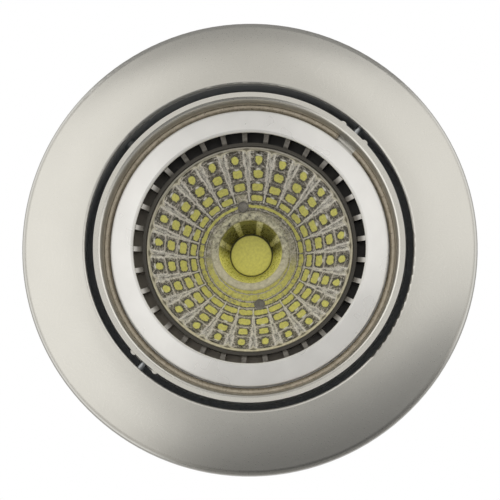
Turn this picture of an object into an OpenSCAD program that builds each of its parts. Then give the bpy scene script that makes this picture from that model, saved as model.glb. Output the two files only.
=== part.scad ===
// Recessed soffit downlight with a tilting ring and a twist-lock LED lamp.
// Z = 0 is the face of the soffit, +Z runs up into the void and the light shines along -Z.
// The tilt axis lies along X. All sizes are in millimetres.

/* [Trim] */
// Outer diameter of the trim
trim_d = 82; // [80:0.5:90]
// Diameter of the opening in the trim
opening_d = 58.9; // [58.5:0.1:59.6]
// Height of the inner lip in front of the soffit
trim_h = 4.8; // [4.6:0.1:6]
// Radius of the domed face, seen in section
dome_r = 40; // [38:0.5:60]
// Thickness of the trim's cast wall
trim_wall = 1.4; // [1.2:0.05:1.5]
// Rounding of the outer edge
edge_r = 1.4; // [0.8:0.1:1.6]
// Rounding of the inner lip
lip_r = 0.45; // [0.4:0.05:0.9]
// How far the spigot reaches up behind the soffit's face
spigot_h = 4; // [3:0.1:6]

/* [Pivot frame] */
// Sheet thickness of the frame
frame_t = 1; // [0.8:0.05:1.2]
// Height of the frame above the soffit's face
frame_h = 13; // [12:0.5:14]
// Width of the inturned rear lip
frame_lip = 3.7; // [3:0.1:3.8]
// Diameter of the pivot pins
pin_d = 1.4; // [1.2:0.05:1.6]
// Depth of the tilt axis in front of the soffit's face
pivot_depth = 1.2; // [1.1:0.05:1.3]

/* [Tilt ring] */
// Diameter of the ring's front edge
ring_d = 56.1; // [55.8:0.1:56.8]
// How far the ring's front lies behind the trim's lip
ring_recess = 0.45; // [0.3:0.05:0.6]
// Height of the ring behind the soffit's face
ring_back = 3.5; // [3:0.1:4.5]

/* [Lamp] */
// Diameter of the lamp's front ring
lamp_d = 50.7; // [50.2:0.1:50.8]
// Radial clearance of the lamp in the tilt ring
lamp_play = 0.25; // [0.15:0.05:0.3]
// Inner diameter of the polished front ring
polish_d = 41.8; // [41.5:0.1:42.8]
// Height of the front ring's cone
polish_rise = 1.2; // [0.9:0.1:1.4]
// Number of cooling fins
fins = 33; // [21:1:36]
// Thickness of a cooling fin
fin_t = 0.7; // [0.6:0.05:1]
// Diameter of the lens
lens_d = 37.2; // [36:0.1:37.4]
// Columns of facets round the lens
facet_columns = 24; // [16:2:30]
// Diameter of the well in the lens
well_d = 10.8; // [10:0.1:12]
// Diameter of the light-emitting disc
emitter_d = 8.2; // [7:0.1:9]
// Distance of each board screw from the lamp's axis
screw_at = 9.05; // [8.8:0.05:9.6]
// Direction of the board screws, measured from the tilt axis
screw_angle = -52; // [-80:1:-30]
// Diameter of the lamp's plastic base
base_d = 23.2; // [22.6:0.1:24]
// Spacing of the two contact pins
cap_pin_pitch = 10; // [9.8:0.1:10.2]

/* [Circlip] */
// Wire diameter of the circlip
circlip_wire = 1.4; // [1.2:0.05:1.5]
// Gap between the circlip's ends, in degrees
circlip_gap = 9; // [6:1:20]

/* [Spring clips] */
// Width of a clip bracket
bracket_w = 12; // [11.6:0.1:13]
// Height of the hinge pins above the soffit's face
hinge_h = 26; // [25:0.5:28]
// Diameter of a hinge pin
hinge_d = 2; // [1.8:0.1:2.2]
// Length of a clip arm from its hinge pin
arm_len = 14; // [13:0.5:15]
// Angle of a clip arm at rest, measured from the vertical
arm_angle = 21.5; // [18:0.5:22]
// Wire diameter of a clip spring
spring_wire = 0.7; // [0.5:0.05:0.75]
// Distance between the turns of a clip spring
spring_pitch = 1.25; // [1.2:0.01:1.3]

/* [Lampholder] */
// Diameter of the ceramic holder
holder_d = 27; // [26.5:0.1:28]
// Angle that the holder turns to unlock
twist = 28; // [24:1:32]
// Diameter of each lead entry
lead_d = 3.2; // [2.5:0.1:3.4]
// Spacing of the holder's two fixing holes
fixing_pitch = 19.4; // [19:0.1:20]
// Diameter of each fixing hole
fixing_d = 3.2; // [2.8:0.1:3.4]

/* [Hidden] */
$fn = 96;

// Clearances
fit = 0.05;        // running fit of a pin in its hole
seat = 0.1;        // loose seat of one fixed piece in another
slack = 0.3;       // gap between pieces that pass each other
eps = 0.01;

// Colours
satin_nickel = "#CBC7C0";
black_coat = "#26272B";
zinc = "#B9BCBE";
wire_tan = "#A89F8E";
polished = "#DFE0DF";
cast_grey = "#77746D";
clear = "#E9EDE6";
phosphor = "#C9C65A";
ivory = "#E8E6DD";
board_green = "#2F6B45";
part_dark = "#34363A";
brass = "#C7A34E";
ceramic = "#EFEDE6";

// Trim
trim_r = trim_d / 2;
opening_r = opening_d / 2;
// The face is an arc about a point inside the opening, so it slopes outwards from the lip
dome_at = opening_r - 3.45;
lip_x = opening_r + lip_r;
lip_y = trim_h - lip_r;
dome_z = lip_y - sqrt(pow(dome_r - lip_r, 2) - pow(lip_x - dome_at, 2));
edge_x = trim_r - edge_r;
edge_y = dome_z + sqrt(pow(dome_r - edge_r, 2) - pow(edge_x - dome_at, 2));
lip_depth = 1.7;                         // height of the lip in front of the frame
rim_w = 1.6;                             // width of the edge that rests on the soffit

// Frame
frame_in = opening_r + 0.65;
frame_out = frame_in + frame_t;
frame_front = -(trim_h - lip_depth);
spigot_in = frame_out + seat;
spigot_out = spigot_in + 1.5;
pivot_z = -pivot_depth;

// Tilt ring
ring_front = -(trim_h - ring_recess);
ring_sphere = sqrt(pow(ring_d / 2, 2) + pow(ring_front - pivot_z, 2));
lamp_r = lamp_d / 2;
lamp_bore = lamp_r + lamp_play;
wire_r = circlip_wire / 2;
circlip_r = lamp_r - 0.2 + wire_r;       // the wire covers the lamp's flange by 0.2
groove_r = circlip_r + wire_r + seat;
mouth_r = circlip_r + wire_r - 0.35;
shelf_z = 1.3;                           // the lamp's flange rests here
shelf_t = 1.2;
shelf_r = lamp_r - 1.15;
flange_front = shelf_z - 1;
circlip_z = flange_front - wire_r;
groove_front = circlip_z - wire_r - seat / 2;
land_w = 0.95;                           // flat front of the ring
land_in = ring_d / 2 - land_w;
pin_tip = groove_r + fit;
ear_w = 4.4;                             // recess in the ring's edge at each pin
ear_depth = 0.3;
ear_back = 0.8;                          // its distance behind the ring's front
lug_r = 0.7;

// Lamp
polish_r = polish_d / 2;
rim_r = lamp_r - 0.4;                    // polished ring in front of the flange
rim_top = flange_front - 2.75;           // front of its outer edge
polish_front = rim_top - polish_rise;
polish_t = 0.95;
fin_r = shelf_r - 0.6;
barrel_r = lens_d / 2 + 0.7;
barrel_front = -1;
lens_r = lens_d / 2;
lens_front = barrel_front + 0.2;
lens_ledge = lens_front + 2.5;           // back of the lens's flange
board_z = 10;
board_t = 1.4;
board_r = 14.6;
floor_z = board_z + board_t;
floor_t = 3;
web_z = 5;                               // web that ties the fins and closes the vents
web_t = 1;
fin_turn = screw_angle + 7;              // direction of the first fin
hub_r = 12.6;
sink_top = 27;
cavity_r = 10.6;
well_r = well_d / 2;
well_front = lens_front + 3.8;           // the lens is dished by this much
lens_back = board_z - 1.1;
screw_r = 0.95;
sink_profile = [
    [fin_r, 1.5], [fin_r - 0.9, 6], [fin_r - 3.2, 13], [hub_r + 4.4, 20.5], [hub_r + 2.6, sink_top]
];

// Lamp base and its contact pins
base_r = base_d / 2;
base_top = 43;
base_wall = 1.8;
stem_r = 1.5;
head_r = 2.5;
pin_head_z = base_top + 3.3;
pin_top = pin_head_z + 2.6;
cap_pin_r = cap_pin_pitch / 2;

// Lampholder
holder_r = holder_d / 2;
holder_z = base_top + slack;
face_t = pin_head_z - slack - holder_z;  // plate that traps the pins' heads
contact_z = pin_top + slack;
contact_t = 0.5;
body_top = contact_z + contact_t + 1.6;
cover_top = body_top + 5.5;
slot_w = stem_r + slack;
entry_r = head_r + slack + 0.1;
head_turn = 2;                           // overrun past the locked place, in degrees
rivet_at = holder_r - 2.7;
rivet_r = 1.2;

// Clips: drawn for the side at +Y and turned for the other
bracket_t = 1;
plate_y = frame_out;                     // inner face of the bracket's plate
hinge_y = plate_y + bracket_t + 1.4;
hinge_r = hinge_d / 2;
ear_r = 2.1;
plate_top = hinge_h - 3.5;
bracket_foot = spigot_h + 0.6;
rivet_z = [bracket_foot + 2, frame_h - 2.6];
ear_in = bracket_w / 2 - bracket_t;
barrel_out = ear_in - slack;             // the arm's barrels turn between the bracket's ears
barrel_in = barrel_out - 1.35;
barrel_wall_r = hinge_r + 0.95;
arm_t = 0.9;
arm_foot = 3;
arm_flare = 8;
coil_r = hinge_r + 0.4 + spring_wire / 2;

// Points of a circle's arc, for sections that are turned about Z
function arc(cx, cy, r, a0, a1, n) =
    [for (i = [0:n]) [cx + r * cos(a0 + (a1 - a0) * i / n), cy + r * sin(a0 + (a1 - a0) * i / n)]];

function unit(v) = v / norm(v);

// A round bar along X
module bar_x(r, x0, x1) {
    translate([x0, 0, 0])
        rotate([0, 90, 0])
            cylinder(r = r, h = x1 - x0);
}

// Turns a section, drawn as radius and height, about Z
module turned() {
    rotate_extrude($fn = 180)
        children();
}

// One copy as drawn and one turned half a turn about Z
module both_sides() {
    for (turn = [0, 180])
        rotate(turn)
            children();
}

// ---- Trim ----

module dome_disc(inset) {
    translate([dome_at, dome_z])
        circle(r = dome_r - inset, $fn = 360);
}

// A point outside the dome, in line with its centre and the point x, y
function beyond(x, y) = [x, y] + 9 * unit([x - dome_at, y - dome_z]);

// The trim's section, standing on the soffit with the front upwards
module trim_section() {
    difference() {
        union() {
            intersection() {
                dome_disc(0);
                polygon([
                    [lip_x, 0], [edge_x, 0], [edge_x, edge_y],
                    beyond(edge_x, edge_y), beyond(lip_x, lip_y), [lip_x, lip_y]
                ]);
            }
            translate([edge_x, 0])
                square([edge_r, edge_y]);
            intersection() {
                translate([edge_x, edge_y])
                    circle(r = edge_r);
                translate([edge_x - edge_r, 0])
                    square([2 * edge_r, trim_h]);
            }
            translate([opening_r, trim_h - lip_depth])
                square([lip_r + eps, lip_depth - lip_r]);
            translate([lip_x, lip_y])
                circle(r = lip_r);
            translate([spigot_in, -spigot_h])
                square([spigot_out - spigot_in, spigot_h + trim_h - lip_depth]);
        }
        // seat of the pivot frame behind the lip
        translate([opening_r - 1, -spigot_h - 1])
            square([spigot_in - opening_r + 1, spigot_h + 1 + trim_h - lip_depth]);
        // hollow back between the spigot and the rim
        intersection() {
            dome_disc(trim_wall);
            translate([spigot_out, 0])
                square([trim_r - rim_w - spigot_out, trim_h]);
        }
        translate([spigot_out, -1])
            square([trim_r - rim_w - spigot_out, 1 + eps]);
    }
}

module trim_ring() {
    color(satin_nickel)
        difference() {
            mirror([0, 0, 1])
                turned()
                    trim_section();
            translate([0, 0, pivot_z])
                bar_x(pin_d / 2 + fit, -spigot_out - 1, spigot_out + 1);
        }
}

// ---- Pivot frame ----

module pivot_frame() {
    color(black_coat)
        difference() {
            turned()
                union() {
                    translate([frame_in, frame_front])
                        square([frame_t, frame_h - frame_front]);
                    translate([frame_in - frame_lip, frame_h - frame_t])
                        square([frame_lip + frame_t, frame_t]);
                }
            translate([0, 0, pivot_z])
                bar_x(pin_d / 2 + fit, -frame_out - 1, frame_out + 1);
            rivet_holes();
        }
}

module rivet_holes() {
    both_sides()
        for (z = rivet_z)
            translate([0, 0, z])
                rotate([-90, 0, 0])
                    cylinder(r = 0.8, h = frame_out + 5);
}

// ---- Pivot pins and washers ----

washer_t = 0.5;
pin_head_r = 1.1;
pin_head_x = spigot_out + washer_t + fit;

module pivot_pins() {
    color(zinc)
        both_sides()
            translate([0, 0, pivot_z]) {
                bar_x(pin_d / 2, pin_tip, pin_head_x + eps);
                bar_x(pin_head_r, pin_head_x, pin_head_x + 0.7);
            }
}

module pivot_washers() {
    color(zinc)
        both_sides()
            translate([0, 0, pivot_z])
                difference() {
                    bar_x(pin_head_r + 0.05, spigot_out, spigot_out + washer_t);
                    bar_x(pin_d / 2 + fit, spigot_out - 1, spigot_out + washer_t + 1);
                }
}

// ---- Tilt ring ----

// The cove of the ring's mouth, from its front at 0 to the circlip's groove at 1
function cove(t) =
    let (x0 = land_in - 0.25, y0 = ring_front + 0.5)
    [x0 + (mouth_r - x0) * (1 - pow(1 - t, 1.6)), y0 + (groove_front - y0) * t];

module tilt_section() {
    difference() {
        intersection() {
            translate([0, pivot_z])
                circle(r = ring_sphere, $fn = 360);
            translate([shelf_r, ring_front])
                square([ring_sphere, ring_back - ring_front]);
        }
        // mouth: a step behind the flat front, then a cove down to the circlip
        polygon(concat(
            [
                [shelf_r - 1, ring_front - 1], [land_in + 0.1, ring_front - 1],
                [land_in + 0.1, ring_front], [land_in, ring_front + 0.1],
                [land_in, ring_front + 0.4]
            ],
            [for (t = [0:0.125:1]) cove(t)],
            [[mouth_r, circlip_z], [shelf_r - 1, circlip_z]]
        ));
        // groove of the circlip
        translate([shelf_r - 1, groove_front])
            square([groove_r - shelf_r + 1, circlip_wire + seat]);
        // bore for the lamp's rim
        translate([shelf_r - 1, circlip_z])
            square([lamp_bore - shelf_r + 1, shelf_z - circlip_z]);
        // skirt behind the shelf
        translate([shelf_r - 1, shelf_z + shelf_t])
            square([ring_sphere - 1.6 - shelf_r + 1, ring_back]);
    }
}

module tilt_ring() {
    notch_x = ring_d / 2 - ear_depth;
    color(satin_nickel)
        difference() {
            union() {
                difference() {
                    turned()
                        tilt_section();
                    // recess behind the front edge that clears the pin's neck
                    both_sides()
                        translate([notch_x, -ear_w / 2, ring_front + ear_back])
                            cube([2, ear_w, pivot_z - ring_front - ear_back + 3]);
                }
                // lugs at the ends of each recess
                both_sides()
                    for (side = [-1, 1])
                        translate([ring_d / 2 - 0.4, side * (ear_w / 2 + 0.35),
                                ring_front + ear_back])
                            cylinder(r = lug_r, h = 1.4, $fn = 32);
            }
            translate([0, 0, pivot_z])
                bar_x(pin_d / 2 + 0.01, -ring_sphere - 1, ring_sphere + 1);
        }
}

module lamp_circlip() {
    color(wire_tan)
        translate([0, 0, circlip_z])
            rotate(circlip_gap / 2)
                rotate_extrude(angle = 360 - circlip_gap, $fn = 180)
                    translate([circlip_r, 0])
                        circle(r = wire_r, $fn = 32);
}

// ---- Lamp: front ring, heat sink, lens and light source ----

module lamp_front_ring() {
    color(polished)
        turned()
            union() {
                polygon([
                    [lamp_r, shelf_z], [lamp_r, flange_front], [rim_r, flange_front],
                    [rim_r, rim_top + 0.2], [rim_r - 0.2, rim_top],
                    [polish_r + 0.45, polish_front], [polish_r + 0.1, polish_front + 0.3],
                    [polish_r, polish_front + 0.5], [polish_r, polish_front + polish_t],
                    [fin_r, rim_top + 0.5], [fin_r, shelf_z]
                ]);
            }
}

// One fin, drawn as radius and height and stood up on its edge
module fin() {
    rotate([90, 0, 0])
        linear_extrude(height = fin_t, center = true)
            polygon(concat(
                [
                    [hub_r - 1, sink_top], [hub_r - 1, floor_z + 1], [barrel_r - 0.5, floor_z + 1],
                    [barrel_r - 0.5, lens_ledge + 1.4], [barrel_r, lens_ledge + 0.8],
                    [polish_r + 0.1, barrel_front - 0.4], [polish_r + 0.1, polish_front + polish_t + 0.05],
                    [fin_r, rim_top + 0.55]
                ],
                sink_profile
            ));
}

module lamp_heat_sink() {
    color(cast_grey)
        difference() {
            union() {
                // cup that holds the lens and the board, and the hub behind it
                turned()
                    polygon([
                        [0, floor_z], [board_r + 0.2, floor_z], [board_r + 0.2, board_z - 1],
                        [lens_r - 1.4, lens_ledge + 1.5], [lens_r - 1.4, lens_ledge],
                        [lens_r + 0.1, lens_ledge], [lens_r + 0.1, barrel_front],
                        [barrel_r, barrel_front], [barrel_r, floor_z + 0.5],
                        [hub_r + 1, floor_z + floor_t], [hub_r, floor_z + floor_t + 1.5],
                        [hub_r, sink_top], [cavity_r, sink_top], [cavity_r, floor_z + floor_t],
                        [0, floor_z + floor_t]
                    ]);
                turned()
                    translate([barrel_r - 0.5, web_z])
                        square([fin_r - 1.1 - barrel_r + 0.5, web_t]);
                for (i = [0:fins - 1])
                    rotate(fin_turn + i * 360 / fins)
                        fin();
            }
            board_screw_places()
                translate([0, 0, floor_z - 1])
                    cylinder(r = 0.8, h = floor_t - 0.2, $fn = 24);
        }
}

module board_screw_places() {
    for (turn = [0, 180])
        rotate(screw_angle + turn)
            translate([screw_at, 0, 0])
                children();
}

// The back of the lens: rows of facets between these radii and heights
lens_rows = 7;
lens_foot = well_r + 0.5;
function lens_row(i) =
    let (t = i / lens_rows, r = lens_foot + (lens_r - 1.6 - lens_foot) * t)
    [r, lens_back - (lens_back - lens_ledge - 0.2) * pow(t, 1.5)];

// Corners of the faceted body: two centre points and one ring of corners for each row
module faceted_lens_body() {
    n = facet_columns;
    rings = [for (i = [0:lens_rows]) lens_row(i)];
    last = lens_rows + 1;
    all_rings = concat(rings, [[rings[lens_rows][0], lens_front + 0.6]]);
    corners = [
        for (ring = all_rings, k = [0:n - 1])
            let (a = (k + 0.5) * 360 / n)
                [ring[0] * cos(a), ring[0] * sin(a), ring[1]]
    ];
    sides = [
        for (i = [0:last - 1], k = [0:n - 1])
            [i * n + k, i * n + (k + 1) % n, (i + 1) * n + (k + 1) % n, (i + 1) * n + k]
    ];
    back = [for (k = [0:n - 1]) n - 1 - k];
    front = [for (k = [0:n - 1]) last * n + k];
    polyhedron(points = corners, faces = concat(sides, [back, front]));
}

module lamp_lens() {
    color(clear)
        difference() {
            union() {
                rotate(screw_angle)
                    faceted_lens_body();
                translate([0, 0, lens_front])
                    cylinder(r = lens_r, h = lens_ledge - lens_front);
            }
            // dished front and the well over the light source
            turned()
                polygon([
                    [0, lens_front - 1], [lens_r - 0.6, lens_front - 1],
                    [lens_r - 0.6, lens_front], [well_r + 0.2, well_front],
                    [well_r, well_front + 0.3], [well_r, lens_back + 1], [0, lens_back + 1]
                ]);
            board_screw_places()
                translate([0, 0, lens_front - 1])
                    cylinder(r = screw_r + 0.15, h = 20, $fn = 32);
        }
}

module board_screws() {
    color(zinc)
        board_screw_places() {
            translate([0, 0, board_z - 0.8])
                cylinder(r = screw_r, h = 0.8, $fn = 32);
            translate([0, 0, board_z - eps])
                cylinder(r = 0.75, h = board_t + 1.5, $fn = 24);
        }
}

module led_board() {
    color(ivory)
        difference() {
            translate([0, 0, board_z])
                cylinder(r = board_r, h = board_t);
            board_screw_places()
                translate([0, 0, board_z - 1])
                    cylinder(r = 0.8, h = board_t + 2, $fn = 24);
        }
}

module led_emitter() {
    color(phosphor)
        union() {
            translate([0, 0, board_z - 0.35])
                cylinder(r = emitter_d / 2, h = 0.35);
            translate([0, 0, board_z - 0.6])
                cylinder(r = emitter_d / 2 - 0.5, h = 0.3);
        }
}

// ---- Lamp base ----

module lamp_base() {
    color(ivory)
        difference() {
            turned()
                polygon([
                    [cavity_r - 0.1, sink_top], [hub_r + 2.6, sink_top], [hub_r + 2.6, sink_top + 1.2],
                    [base_r + 1.2, sink_top + 5], [base_r, sink_top + 7], [base_r, base_top - 1.2],
                    [base_r - 1.2, base_top], [0, base_top], [0, base_top - 2],
                    [base_r - base_wall, base_top - 2], [base_r - base_wall, sink_top + 6.5],
                    [cavity_r - 0.1, sink_top + 4]
                ]);
            for (i = [0:11])
                rotate((i + 0.5) * 30)
                    translate([base_r + 0.35, 0, sink_top + 8])
                        cylinder(r = 0.8, h = base_top - sink_top, $fn = 24);
            both_sides()
                translate([cap_pin_r, 0, base_top - 3])
                    cylinder(r = stem_r - 0.5 + fit, h = 5);
        }
}

module lamp_pins() {
    color(zinc)
        both_sides()
            translate([cap_pin_r, 0, 0]) {
                translate([0, 0, base_top - 3.5])
                    cylinder(r = stem_r - 0.5, h = 4);
                translate([0, 0, base_top])
                    cylinder(r = stem_r, h = pin_head_z - base_top + eps);
                translate([0, 0, pin_head_z])
                    cylinder(r = head_r, h = pin_top - pin_head_z - 0.7);
                translate([0, 0, pin_top - 0.7])
                    cylinder(r1 = head_r, r2 = head_r - 0.7, h = 0.7);
            }
}

board_w = 2 * (base_r - base_wall - 0.4);
driver_board_t = 1.2;
driver_z = floor_z + floor_t + 1;

module driver_board() {
    color(board_green)
        translate([-board_w / 2, -driver_board_t / 2, driver_z])
            cube([board_w, driver_board_t, base_top - 4 - driver_z]);
}

module driver_parts() {
    face = driver_board_t / 2;
    color(part_dark) {
        // reservoir capacitor
        translate([-3.5, face + 3.2, driver_z + 2])
            cylinder(r = 3.2, h = 9, $fn = 48);
        // transformer
        translate([-4, face, driver_z + 13])
            cube([8, 6, 7]);
        // bridge rectifier and driver chip on the other face
        translate([-3, -face - 2, driver_z + 3])
            cube([6, 2, 5]);
        translate([-2.5, -face - 1.5, driver_z + 12])
            cube([5, 1.5, 4]);
    }
}

// ---- Lampholder ----

// The way a round head of radius r takes from its locked place to the entry hole
module twist_path(r) {
    both_sides() {
        for (a = [head_turn, -twist])
            rotate(a)
                translate([cap_pin_r, 0])
                    circle(r = r, $fn = 48);
        intersection() {
            difference() {
                circle(r = cap_pin_r + r);
                circle(r = cap_pin_r - r);
            }
            polygon([
                [0, 0], [40 * cos(head_turn), 40 * sin(head_turn)],
                [40 * cos(-twist / 2), 40 * sin(-twist / 2)], [40 * cos(-twist), 40 * sin(-twist)]
            ]);
        }
    }
}

module holder_body() {
    color(ceramic)
        difference() {
            translate([0, 0, holder_z])
                cylinder(r = holder_r, h = body_top - holder_z);
            // slots for the stems, with an entry hole for each head
            translate([0, 0, holder_z - 1])
                linear_extrude(height = face_t + 2)
                    union() {
                        twist_path(slot_w);
                        both_sides()
                            rotate(-twist)
                                translate([cap_pin_r, 0])
                                    circle(r = entry_r, $fn = 48);
                    }
            // chambers in which the heads turn
            translate([0, 0, holder_z + face_t])
                linear_extrude(height = contact_z - holder_z - face_t)
                    twist_path(entry_r);
            contact_pockets();
            holder_holes(fixing_pitch / 2, fixing_d / 2, 90);
            holder_holes(rivet_at, rivet_r + seat, rivet_turn);
            // grip notches round the edge
            for (a = [0:30:330])
                rotate(a + 15)
                    translate([holder_r + 0.7, 0, holder_z - 1])
                        cylinder(r = 1.3, h = body_top - holder_z + 2, $fn = 32);
        }
}

rivet_turn = -twist / 2;

module holder_holes(at, r, turn) {
    for (side = [0, 180])
        rotate(turn + side)
            translate([at, 0, holder_z - 1])
                cylinder(r = r, h = cover_top - holder_z + 2, $fn = 48);
}

// Pocket for a brass blade above each chamber, open towards the cover
module contact_pockets() {
    both_sides()
        rotate(-twist / 2)
            translate([blade_x0 - seat, -blade_w / 2 - seat, contact_z - eps])
                cube([blade_x1 - blade_x0 + 2 * seat, blade_w + 2 * seat, body_top - contact_z + 1]);
}

// Each blade lies on the ledges round its chamber, and its tab stops it under the cover
module holder_contacts() {
    color(brass)
        both_sides()
            rotate(-twist / 2) {
                translate([blade_x0, -blade_w / 2, contact_z])
                    cube([blade_x1 - blade_x0, blade_w, contact_t]);
                translate([blade_x1 - contact_t, -blade_w / 4, contact_z])
                    cube([contact_t, blade_w / 2, body_top - contact_z - seat]);
            }
}

lead_at = 5;
blade_x0 = 1.2;
blade_x1 = 8.8;
blade_w = 6.8;

// Holes for the supply leads, down to the brass blades
module lead_entries() {
    both_sides()
        rotate(-twist / 2)
            translate([lead_at, 0, contact_z + contact_t])
                cylinder(r = lead_d / 2, h = cover_top - contact_z, $fn = 48);
}

module holder_cover() {
    color(ceramic)
        difference() {
            turned()
                polygon([
                    [0, body_top], [holder_r, body_top], [holder_r, cover_top - 1.6],
                    [holder_r - 1.6, cover_top], [0, cover_top]
                ]);
            lead_entries();
            holder_holes(fixing_pitch / 2, fixing_d / 2, 90);
            holder_holes(rivet_at, rivet_r + seat, rivet_turn);
            // recess for the rivets' heads
            for (side = [0, 180])
                rotate(rivet_turn + side)
                    translate([rivet_at, 0, cover_top - 1])
                        cylinder(r = rivet_r + 0.9, h = 3, $fn = 48);
        }
}

module holder_rivets() {
    color(brass)
        for (side = [0, 180])
            rotate(rivet_turn + side)
                translate([rivet_at, 0, 0])
                    difference() {
                        union() {
                            translate([0, 0, holder_z + 0.2])
                                cylinder(r = rivet_r, h = cover_top - holder_z - 0.5, $fn = 48);
                            translate([0, 0, cover_top - 1])
                                cylinder(r = rivet_r + 0.7, h = 0.7, $fn = 48);
                        }
                        translate([0, 0, cover_top - 3])
                            cylinder(r = rivet_r - 0.5, h = 4, $fn = 32);
                    }
}

// ---- Spring clips ----

module at_side(side) {
    rotate(side > 0 ? 0 : 180)
        children();
}

module clip_bracket(side) {
    half = bracket_w / 2;
    color(zinc)
        at_side(side)
            difference() {
                union() {
                    // foot that follows the frame's wall
                    intersection() {
                        turned()
                            translate([frame_out, bracket_foot])
                                square([bracket_t, frame_h + 1 - bracket_foot]);
                        translate([-half, 0, 0])
                            cube([bracket_w, trim_d, frame_h + 2]);
                    }
                    // flat plate above the foot
                    translate([-half, plate_y, frame_h])
                        cube([bracket_w, bracket_t, plate_top - frame_h]);
                    // ears that carry the hinge pin
                    for (x = [-half, ear_in])
                        translate([x, 0, 0]) {
                            translate([0, plate_y, frame_h])
                                cube([bracket_t, hinge_y + ear_r - plate_y, hinge_h - frame_h]);
                            translate([0, hinge_y, hinge_h])
                                bar_x(ear_r, 0, bracket_t);
                            translate([0, plate_y, hinge_h - eps])
                                cube([bracket_t, hinge_y - plate_y, 0.4]);
                        }
                }
                translate([0, hinge_y, hinge_h])
                    bar_x(hinge_r + fit, -half - 1, half + 1);
                rivet_holes();
                // relief that takes the corner off each ear
                translate([-half - 1, hinge_y + ear_r - 0.2, frame_h + 1])
                    rotate([-24, 0, 0])
                        translate([0, 0, -9])
                            cube([bracket_w + 2, 6, 9]);
            }
}

module bracket_rivets() {
    head = 1.3;
    // the inner heads' edges touch the frame's curved wall
    inner = sqrt(pow(frame_in, 2) - pow(head, 2));
    color(zinc)
        both_sides()
            for (z = rivet_z)
                translate([0, 0, z])
                    rotate([-90, 0, 0]) {
                        translate([0, 0, inner - 0.2])
                            cylinder(r = 0.75, h = frame_t + bracket_t + 0.7, $fn = 32);
                        translate([0, 0, inner - 0.7])
                            cylinder(r = head, h = 0.7, $fn = 32);
                        translate([0, 0, frame_out + bracket_t])
                            cylinder(r = head, h = 0.6, $fn = 32);
                    }
}

module clip_pin(side) {
    half = bracket_w / 2;
    color(zinc)
        at_side(side)
            translate([0, hinge_y, hinge_h]) {
                bar_x(hinge_r, -half - 0.5, half + 0.5);
                bar_x(hinge_r + 0.6, half + fit, half + 0.7);
                bar_x(hinge_r + 0.6, -half - 0.7, -half - fit);
            }
}

// The arm hangs from its pin along -Z before it is swung out by arm_angle
module hanging_arm() {
    wide = barrel_out;
    difference() {
        union() {
            for (x = [-barrel_out, barrel_in])
                bar_x_at(x, barrel_out - barrel_in, barrel_wall_r);
            translate([-wide, -arm_t / 2, -arm_len + arm_foot])
                cube([2 * wide, arm_t, arm_len - arm_foot]);
            // foot that flares out to grip the board
            translate([0, -arm_t / 2, -arm_len + arm_foot])
                rotate([arm_flare, 0, 0])
                    translate([-wide, 0, -arm_foot])
                        cube([2 * wide, arm_t, arm_foot + 0.2]);
            // pressed rib down the middle
            translate([0, arm_t / 2 - 0.35, -arm_len + arm_foot + 1])
                cylinder(r = 0.8, h = arm_len - arm_foot - 6.6, $fn = 32);
        }
        // window for the spring
        translate([-barrel_in - 0.05, -5, -4.5])
            cube([2 * barrel_in + 0.1, 10, 10]);
        bar_x_at(-barrel_out - 1, 2 * barrel_out + 2, hinge_r + fit);
    }
}

module bar_x_at(x, length, r) {
    bar_x(r, x, x + length);
}

module clip_arm(side) {
    color(zinc)
        at_side(side)
            translate([0, hinge_y, hinge_h])
                rotate([arm_angle, 0, 0])
                    hanging_arm();
}

// The spring's centre line, from its end on the bracket to its end on the arm.
// Angles run from +Y towards +Z about the hinge pin.
fixed_turn = -45;
arm_lean = arm_angle + 6.8;
free_turn = arm_lean + 180 + 3 * 360;
spring_steps = 30;
function coil_point(s) =
    let (a = fixed_turn + (free_turn - fixed_turn) * s)
    [
        spring_pitch * (free_turn - fixed_turn) / 360 * (s - 0.5),
        coil_r * cos(a), coil_r * sin(a)
    ];
coil_start = coil_point(0);
coil_end = coil_point(1);
plate_gap = bracket_t + plate_y + spring_wire / 2 + 0.05 - hinge_y;
fixed_run = coil_start[1] - plate_gap;
spring_path = concat(
    [
        [coil_start[0], plate_gap, coil_start[2] - fixed_run - 3],
        [coil_start[0], plate_gap, coil_start[2] - fixed_run - 1],
        [coil_start[0], plate_gap, coil_start[2] - fixed_run],
        coil_start + [0, -fixed_run / 2, -fixed_run / 2]
    ],
    [for (i = [0:spring_steps]) coil_point(i / spring_steps)],
    [
        coil_end + 3 * [0, sin(arm_lean), -cos(arm_lean)],
        coil_end + 6.6 * [0, sin(arm_lean), -cos(arm_lean)]
    ]
);

// The least gap between two places of the wire that lie half a turn or more apart
half_turn = floor(spring_steps * 180 / (free_turn - fixed_turn));
function along(p, q, n) = [for (i = [0:n - 1]) p + (q - p) * i / n];
wire_points = concat(
    along(spring_path[0], spring_path[2], 6),
    [for (i = [2:len(spring_path) - 3]) each along(spring_path[i], spring_path[i + 1], 2)],
    along(spring_path[len(spring_path) - 3], spring_path[len(spring_path) - 1], 12)
);
wire_gap = min([
    for (i = [0:len(wire_points) - 1], j = [i + 2 * half_turn:len(wire_points) - 1])
        norm(wire_points[i] - wire_points[j])
]) - spring_wire;
echo(str("clip spring: least gap to itself ", wire_gap, " mm"));

// Direction of a path at point i
function heading(p, i) =
    unit(unit(p[min(i + 1, len(p) - 1)] - p[i] + (i == len(p) - 1 ? p[i] - p[i - 1] : [0, 0, 0]))
        + unit(i == 0 ? p[1] - p[0] : p[i] - p[i - 1]));

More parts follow.
